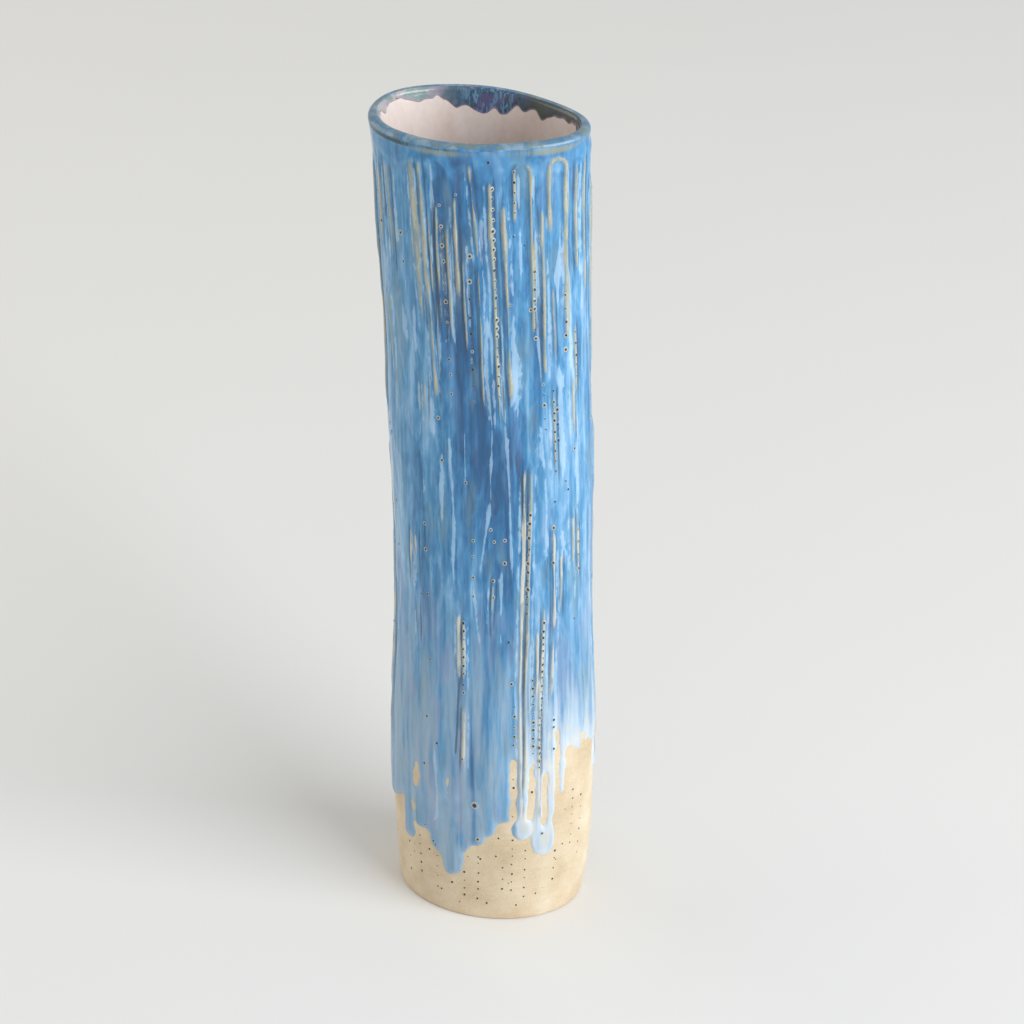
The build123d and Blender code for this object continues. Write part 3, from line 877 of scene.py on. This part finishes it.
    # painted shade in the hole of each prick
    colour = f.mix(f.step(f.attribute("pit"), 0.4, 0.6), colour, PIT_SHADE_IN_GLAZE)
    f.surface(colour, streak, 0.12, 0.06)
    f.shader.inputs["IOR"].default_value = 1.56
    f.bump(f.total((0.8, f.noise(1.1, 7.0, 2.0, 0.5, 33.0)), (0.2, fleck)), 0.12)
    return f.material


def clay_finish(name):
    """Buff stoneware fired bare: sandy mottling, faint drag marks, iron specks, a browner foot and painted
    shade in the prick holes.
    """
    f = Finish(name)
    sand = f.noise(0.5, 0.5, 5.0, 0.7, 2.0)
    patch = f.noise(9.0, 11.0, 3.0, 0.5, 6.0)
    drag = f.noise(6.0, 0.8, 3.0, 0.5, 11.0)
    speck = f.noise(0.9, 0.9, 2.0, 0.5, 17.0)
    colour = f.ramp(f.total((0.52, patch), (0.38, sand), (0.10, drag)), *BUFFS)
    colour = f.paint(colour, f.step(speck, 0.735, 0.775), 0.55, IRON_SPECK)
    colour = f.paint(colour, f.attribute("foot"), 0.35, FOOT_BROWN)
    # painted shade in the hole of each prick in bare clay
    colour = f.mix(f.step(f.attribute("pit"), 0.4, 0.6), colour, PIT_SHADE_IN_CLAY)
    f.surface(colour, sand, 0.25, 0.62)
    f.shader.inputs["Specular IOR Level"].default_value = 0.3
    f.bump(f.total((0.7, sand), (0.3, drag)), 0.13)
    return f.material


def liner_finish(name):
    """Glossy pinkish white liner, a little uneven."""
    f = Finish(name)
    patch = f.noise(12.0, 18.0, 3.0, 0.5, 3.0)
    fine = f.noise(1.6, 2.4, 4.0, 0.6, 8.0)
    colour = f.ramp(f.total((0.7, patch), (0.3, fine)), *PINKS)
    f.surface(colour, fine, 0.12, 0.10)
    f.shader.inputs["IOR"].default_value = 1.52
    f.bump(fine, 0.05)
    return f.material


GLAZE = glaze_finish("running_blue_glaze")
CLAY = clay_finish("buff_stoneware")
WHITE_LINER = liner_finish("pinkish_white_liner")


# ---------------------------------------------------------------- pieces

COAT_COLUMNS = 700
BIG_PIT = (-86.4, 44.0)  # angle and height of the one large pit, a place in PRICKS
BIG_PIT_SIZE = 2.1


def make_clay_wall():
    """Clay wall as one closed skin: foot ring, outside, lip, bore and back to the foot.

    The foot's outer edge is a quarter circle and the lip is half an ellipse. Between them
    the skin follows the clay's sheet, a little under it where glaze covers it all.
    """
    columns = 480
    foot_edge = 0.8
    bare_top = 66
    z_lip = TOP - 1.6
    t = even_turns(columns)
    rows = []
    ring = outside(t, foot_edge, 0.0)
    ring_normal = read(clay_normal, t, foot_edge)
    for turn in np.linspace(0, 90, 5)[:-1]:
        a = math.radians(turn)
        row = ring - ring_normal * foot_edge * (1 - math.sin(a))
        row[:, 2] = foot_edge * (1 - math.cos(a))
        rows.append(row)
    for z in steps(foot_edge, (bare_top, 0.8), (z_lip, 7.0)):
        rows.append(outside(t, z, -0.12 * ease(z, bare_top, bare_top + 14)))
    outer = rows[-1]
    inner = inside(t, z_lip, -0.1)
    rise = 0.3 * np.linalg.norm(outer - inner, axis=1)
    rows += lip_arc(outer, inner, rise, 9)
    rows.append(inner)
    rows += [inside(t, z, -0.05) for z in steps(z_lip, (0.0, 9.0))[1:]]
    points = np.stack(rows)
    faces, uv = grid_faces(len(rows), columns, close_rows=True)
    foot = hill(points[..., 2], 2.5, 1.0).ravel()
    put_mesh("clay_wall", points.reshape(-1, 3), faces, uv, {"foot": foot}, CLAY, ["wall_slab"])


def put_coat(name, points, faces, uv, covered, attributes):
    """A coat of blue glaze without the faces that are well under the clay or the liner."""
    shown = (covered.ravel()[faces] > -0.10).any(1)
    attributes = {key: values.ravel() for key, values in attributes.items()}
    points, faces, attributes = drop_unused(points.reshape(-1, 3), faces[shown], attributes)
    node = name.removesuffix("_coat")
    put_mesh(name, points, faces, uv[shown], attributes, GLAZE, [node])


def make_outer_coat():
    """Outer coat: the clay's outside lifted by the coat's thickness, cut off where it is bare."""
    z = steps(12.0, (66.0, 0.7), (236.0, 2.4), (BAND_FOOT, 0.9))
    tt, zz = np.meshgrid(even_turns(COAT_COLUMNS), z)
    thickness = read(coat, tt, zz)
    faces, uv = grid_faces(len(z), COAT_COLUMNS)
    attributes = {key: read(sheet, tt, zz) for key, sheet in FIELDS.items()}
    put_coat("outer_glaze_coat", outside(tt, zz, thickness), faces, uv, thickness, attributes)


def bumps(t, *hills):
    """Sum of smooth bumps round the oval: (middle in degrees, size, half width in degrees)."""
    out = 0 * t
    for at, size, width in hills:
        out = out + size * hill((np.degrees(t) - at + 180) % 360 - 180, width)
    return out


def spill_depth(t):
    """How far the lip's glaze ran down inside, in mm below the top."""
    depth = 2.9 + 0.3 * np.sin(5 * t + 2.0) + 0.25 * np.sin(11 * t)
    return depth + bumps(
        t, (118, 4.4, 6), (100, 5.4, 7), (108, 2.4, 4), (86, 3.6, 7), (74, 1.2, 6), (60, 2.2, 7),
        (42, 1.4, 8), (20, 1.0, 8), (200, 1.2, 10), (262, 2.4, 12), (305, 2.6, 10), (330, 1.0, 8))


def lifted(rows, share, wave):
    """Rows moved up by a share of the lip's wave."""
    return rows + share[..., None] * np.stack([0 * wave, 0 * wave, wave], -1)[None]


def make_rim_coat():
    """Lip glaze: up the outside, over the lip as half an ellipse, down inside to a ragged edge."""
    z_lip = TOP - 1.5
    t = even_turns(COAT_COLUMNS)
    wave = 0.22 * np.sin(2 * t + 1.0) + 0.14 * np.sin(5 * t)
    tt, zz = np.meshgrid(t, steps(BAND_FOOT, (z_lip, 0.8)))
    outer = lifted(outside(tt, zz, read(coat, tt, zz)), ease(zz, BAND_FOOT, z_lip), wave)
    ti, zi = np.meshgrid(t, steps(z_lip, (TOP - 13.0, 0.4)))
    ragged = 0.45 * cloud(71, 0.9, 1.0) + 0.5 * cloud(72, 2.2, 2.0)
    spill = zi - (TOP - spill_depth(ti)) + read(ragged, ti, zi)
    lift = 0.22 * (1 - np.exp(-np.maximum(spill, 0) / 0.8)) + np.minimum(spill, 0) * 0.5
    inner = lifted(inside(ti, zi, LINER_THICK + lift), ease(zi, TOP - 12, z_lip), wave)
    arc = np.stack(lip_arc(outer[-1], inner[0], TOP - z_lip, 17))
    points = np.concatenate([outer, arc, inner])
    grid = points.shape[:2]
    z_all = points[..., 2]
    t_all = np.broadcast_to(t, grid)
    past_outer = len(outer)
    past_arc = len(outer) + len(arc)
    spill_lead = 5  # rows of the arc that already have the colour of the spill
    covered = np.ones(grid)
    covered[past_arc:] = lift

    attributes = {key: np.zeros(grid) for key in FIELDS}
    for key, sheet in FIELDS.items():
        attributes[key][:past_outer] = read(sheet, tt, zz)
    attributes["edge"][:] = 0
    attributes["lip"] = ease(z_all, TOP - 1.8, TOP - 0.9)
    dark = bumps(t_all, (-128, 1.0, 22), (-160, 0.8, 18), (-96, 0.5, 14))
    attributes["line"] = dark * hill(z_all - (TOP - 1.9), 0.8)
    attributes["line"][past_arc:] = 0
    attributes["spill"] = np.zeros(grid)
    attributes["spill"][past_arc - spill_lead:] = 1
    attributes["fringe"] = np.zeros(grid)
    attributes["fringe"][past_arc:] = np.exp(-np.maximum(spill, 0) / 0.9)
    attributes["crystal"] = bumps(t_all, (104, 1.0, 12), (86, 0.8, 8), (290, 0.8, 14))
    green = bumps(t_all, (62, 1.0, 14), (30, 1.0, 18), (-10, 0.8, 14), (160, 0.4, 8))
    attributes["green"] = np.clip(green, 0, 1)
    weak = bumps(t_all, (148, 1.0, 22), (190, 0.9, 24), (235, 0.7, 20))
    attributes["weak"] = np.clip(weak, 0, 1)
    faces, uv = grid_faces(len(points), COAT_COLUMNS)
    put_coat("rim_glaze_coat", points, faces, uv, covered, attributes)


def make_liner_coat():
    """Liner: down the bore, round the cove over the coil and across the floor to its middle."""
    columns = 360
    cove = 4.55
    t = even_turns(columns)
    z_wall = steps(TOP - 1.8, (TOP - 20, 0.8), (FLOOR + LINER_THICK + cove, 3.0))
    tt, zz = np.meshgrid(t, z_wall)
    rows = list(inside(tt, zz, LINER_THICK + 0.05 * read(cloud(81, 5.0, 9.0), tt, zz)))
    start = rows[-1]
    normal = read(bore_normal, t, z_wall[-1])
    normal[:, 2] = 0
    for turn in np.linspace(0, 90, 9)[1:]:
        a = math.radians(turn)
        row = start - normal * cove * (1 - math.cos(a))
        row[:, 2] = start[:, 2] - cove * math.sin(a)
        rows.append(row)
    rim = rows[-1]
    middle = rim.mean(0)
    rows += [middle + (rim - middle) * share for share in np.linspace(1, 0, 12)[1:-1]]
    faces, uv = grid_faces(len(rows), columns)
    last = (len(rows) - 1) * columns + np.arange(columns)
    fan = np.stack([last, np.roll(last, -1), np.full(columns, len(rows) * columns)], -1)
    put_liner(np.concatenate(rows + [middle[None]]), faces, uv, fan)


def put_liner(points, faces, uv, fan):
    """The liner's grid of quads, and the fan of triangles that closes its floor."""
    grid_share = 0.99
    columns = len(fan)
    mesh = bpy.data.meshes.new("liner_glaze_coat")
    mesh.from_pydata((points / MM).tolist(), [], faces.tolist() + fan.tolist())
    layer = mesh.uv_layers.new(name="OFBake")
    u = np.arange(columns) / columns
    v = np.full(columns, grid_share)
    step = 1 / columns
    fan_uv = np.stack([u, v, u + step, v, u + step / 2, v + 1 - grid_share], -1)
    all_uv = np.concatenate([(uv * [1, grid_share]).ravel(), fan_uv.ravel()])
    layer.data.foreach_set("uv", all_uv.astype(np.float32))
    mesh.polygons.foreach_set("use_smooth", np.ones(len(mesh.polygons), bool))
    mesh.update()
    piece = bpy.data.objects.new("liner_glaze_coat", mesh)
    bpy.context.scene.collection.objects.link(piece)
    mesh.materials.append(WHITE_LINER)
    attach(piece, "root")
    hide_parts("liner_glaze")


def prick_places():
    """Angles and heights of every needle prick: the rows, then the single ones."""
    rng = np.random.default_rng(5)
    places = []
    for t_high, t_low, z_high, z_low, pitch in PRICK_ROWS:
        count = max(2, int(round((z_high - z_low) / pitch)))
        share = (np.arange(count) + rng.normal(0, 0.09, count)) / (count - 1)
        angle = t_high + (t_low - t_high) * share + rng.normal(0, 0.16, count)
        places.append(np.stack([np.radians(angle), z_high + (z_low - z_high) * share], -1))
    places.append(np.array([(math.radians(a), z) for a, z in PRICKS]))
    return np.concatenate(places)


def square_cells(rings, circle, count, per):
    """UVs of the craters' points, each crater in a square cell of its own."""
    side = math.ceil(math.sqrt(count))
    cell = np.arange(count)
    disc = (rings[:, :1, None] / rings[0, 0] * 0.45 * circle[None]).reshape(-1, 2)
    local = np.concatenate([disc, [[0, 0]]])
    corner = np.stack([cell % side, cell // side], -1)[:, None]
    return ((local[None] + 0.5 + corner) / side).reshape(count * per, 2)


def make_pricks(name, places, sizes, profile, finish, slot, base):
    """Craters as discs of a few rings: radius, lift above the surface, ring and pit marks. The pit mark
    paints the shade of the hole dark.
    """
    sides = 8
    taller = 1.15
    turn = even_turns(sides)
    circle = np.stack([np.cos(turn), np.sin(turn)], -1)
    rings = np.array(profile)
    k = len(rings)
    n = len(places)
    per = k * sides + 1
    size = sizes[:, None, None]
    t_mid = places[:, :1]
    z_mid = places[:, 1:]
    radius = rings[None, :, :1] * size
    t = t_mid[..., None] + radius * circle[:, 0] / read(mm_per_radian, t_mid, z_mid)[..., None]
    z = z_mid[..., None] + radius * circle[:, 1] * taller
    points = outside(t, z, base(t, z) + rings[None, :, 1:2] * np.sqrt(size))
    centres = outside(t_mid, z_mid, base(t_mid, z_mid) + rings[-1, 1])
    points = np.concatenate([points.reshape(n, -1, 3), centres], 1).reshape(-1, 3)

    sheet, _ = grid_faces(k, sides)
    last = (k - 1) * sides + np.arange(sides)
    fan = np.stack([last, np.roll(last, -1), np.full(sides, k * sides)], -1)
    crater = np.concatenate([fan, sheet[:, [0, 1, 2]], sheet[:, [0, 2, 3]]])
    faces = (crater[None] + (np.arange(n) * per)[:, None, None]).reshape(-1, 3)
    uv = square_cells(rings, circle, n, per)[faces]

    marks = {}
    for key, m in (("ring", 2), ("pit", 3)):
        marks[key] = np.tile(np.append(np.repeat(rings[:, m], sides), rings[-1, m]), n)
    strength = np.random.default_rng(9).uniform(0.25, 1.15, n)
    marks["ring"] = marks["ring"] * np.repeat(strength, per)
    if slot == "outer_glaze":
        t_all = np.concatenate([t.reshape(n, -1), t_mid], 1).ravel()
        z_all = np.concatenate([z.reshape(n, -1), z_mid], 1).ravel()
        marks.update({key: read(sheet, t_all, z_all) for key, sheet in FIELDS.items()})
    put_mesh(name, points, faces, uv, marks, finish)


def make_all_pricks():
    """Pricks where the glaze covers them stand in pale rings; pricks in bare clay are plain."""
    places = prick_places()
    covered = read(cover, places[:, 0], places[:, 1])
    sizes = np.random.default_rng(6).uniform(0.62, 1.15, len(places)) ** 1.3
    sizes[covered < 0] *= 1.05
    big_t, big_z = BIG_PIT
    sizes[np.hypot(places[:, 0] - math.radians(big_t), places[:, 1] - big_z) < 0.1] = BIG_PIT_SIZE
    in_glaze = covered > 1.0
    in_clay = (covered < -0.9) & (places[:, 1] > 3.0)
    # the last column of each ring marks the pit, where the hole's shade is painted dark
    glazed = [(0.86, -0.05, 0, 0), (0.56, 0.11, 0.9, 0), (0.39, 0.13, 1, 0), (0.27, 0.04, 0.2, 1)]
    plain = [(0.62, -0.04, 0, 0), (0.38, 0.06, 0, 0), (0.25, 0.02, 0, 1)]
    make_pricks("pricks_in_glaze", places[in_glaze], sizes[in_glaze], glazed, GLAZE, "outer_glaze",
                lambda t, z: read(coat, t, z))
    make_pricks("pricks_in_clay", places[in_clay], sizes[in_clay], plain, CLAY, "clay",
                lambda t, z: np.zeros(np.shape(t)))


def make_seam_strip():
    """The scraped side seam: a strip a hair proud of the clay that narrows and wanders."""
    points_across = 9
    clay_radius = 28.0
    u_width = 0.02
    z_rows = steps(1.2, (TOP - 12, 1.2))
    across = np.linspace(-1, 1, points_across)
    low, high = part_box("side_seam")
    sheet_row = clay_sheet[int(120 / STEP)]
    away = np.hypot(sheet_row[:, 0] - high.x * MM, sheet_row[:, 1] - (low.y + high.y) / 2 * MM)
    middle = turns[np.argmin(away)] + 0.006 * np.sin(z_rows / 9.0) + 0.004 * np.sin(z_rows / 3.7)
    half = 1.1 + 0.25 * np.sin(z_rows / 6.1)
    tt = middle[:, None] + across[None] * half[:, None] / clay_radius
    zz = np.repeat(z_rows[:, None], points_across, 1)
    points = outside(tt, zz, 0.10 * (1 - across[None] ** 2) - 0.05 + 0 * zz)
    rows = len(z_rows)
    i = np.arange(rows - 1)[:, None]
    j = np.arange(points_across - 1)[None, :]
    faces = quads(i, j, i + 1, j + 1, points_across)
    u = u_width / (points_across - 1)
    uv = quad_uv(j * u, (j + 1) * u, i / rows, (i + 1) / rows)
    put_mesh("seam_slip", points.reshape(-1, 3), faces, uv, {}, CLAY, ["side_seam"])


make_clay_wall()
make_outer_coat()
make_rim_coat()
make_liner_coat()
make_all_pricks()
make_seam_strip()
for node in ("base_slab", "base_seam", "base_seam_coil"):
    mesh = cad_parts[node].data
    mesh.materials.clear()
    mesh.materials.append(CLAY)


# ---------------------------------------------------------------- floor, light and camera

def plain_finish(name, colour, roughness):
    """Plain stage paint with the faintest mottling."""
    f = Finish(name)
    cloudy = f.noise(90.0, 90.0, 2.0)
    f.set(f.shader.inputs["Base Color"], f.mix(cloudy, colour, tuple(c * 0.985 for c in colour)))
    f.shader.inputs["Roughness"].default_value = roughness
    return f.material


def make_floor():
    """A pale square floor, wide enough to reach past every view."""
    mesh = bpy.data.meshes.new("floor")
    half = 6.0
    corners = [(-half, -half, 0), (half, -half, 0), (half, half, 0), (-half, half, 0)]
    mesh.from_pydata(corners, [], [(0, 1, 2, 3)])
    floor = bpy.data.objects.new("floor", mesh)
    bpy.context.scene.collection.objects.link(floor)
    mesh.materials.append(plain_finish("pale_floor", (0.785, 0.785, 0.78), 0.75))


def aim(thing, place, target):
    """Stands a light or the camera at place, facing target."""
    thing.location = place
    thing.rotation_euler = (Vector(target) - Vector(place)).to_track_quat("-Z", "Y").to_euler()


def add_light(name, place, target, size, power, colour):
    """A soft rectangular light of some width and height, in metres, that faces its target."""
    light = bpy.data.lights.new(name, "AREA")
    light.shape = "RECTANGLE"
    light.size, light.size_y = size
    light.energy = power
    light.color = colour
    lamp = bpy.data.objects.new(name, light)
    bpy.context.scene.collection.objects.link(lamp)
    aim(lamp, place, target)


CAMERA_TURN = math.radians(17.9)
CAMERA_RISE = math.radians(30.0)
CAMERA_AWAY = 0.927
CAMERA_LENS = 109.7
TARGET_ASIDE = 0.0067
TARGET_HEIGHT = 0.1334
WINDOW_LIGHT = (0.945, 0.975, 1.0)
WALL_LIGHT = (1.0, 0.95, 0.84)
ROOM_LIGHT = (1.0, 0.99, 0.965, 1.0)


def set_up_view():
    """Camera, a large window light from the right, a weak warm one and soft light all round."""
    make_floor()
    side = Vector((math.cos(CAMERA_TURN), math.sin(CAMERA_TURN), 0))
    back = Vector((math.sin(CAMERA_TURN) * math.cos(CAMERA_RISE),
                   -math.cos(CAMERA_TURN) * math.cos(CAMERA_RISE), math.sin(CAMERA_RISE)))
    target = side * TARGET_ASIDE + Vector((0, 0, TARGET_HEIGHT))
    camera_data = bpy.data.cameras.new("camera")
    camera_data.lens = CAMERA_LENS
    camera_data.sensor_width = 36.0
    camera = bpy.data.objects.new("camera", camera_data)
    bpy.context.scene.collection.objects.link(camera)
    aim(camera, target + back * CAMERA_AWAY, target)
    bpy.context.scene.camera = camera
    toward = Vector((back.x, back.y, 0)).normalized()
    middle = Vector((0, 0, 0.12))
    window = middle + side * 1.52 + toward * 1.06 + Vector((0, 0, 0.86))
    add_light("window", window, middle, (1.6, 1.6), 48.0, WINDOW_LIGHT)
    left_wall = middle - side * 1.5 - toward * 0.5 + Vector((0, 0, 0.5))
    add_light("left_wall", left_wall, middle, (1.6, 1.4), 9.5, WALL_LIGHT)
    world = bpy.data.worlds.new("soft_room")
    world.use_nodes = True
    background = world.node_tree.nodes["Background"]
    background.inputs["Color"].default_value = ROOM_LIGHT
    background.inputs["Strength"].default_value = 0.55
    bpy.context.scene.world = world
    bpy.context.scene.view_settings.view_transform = "Standard"


set_up_view()
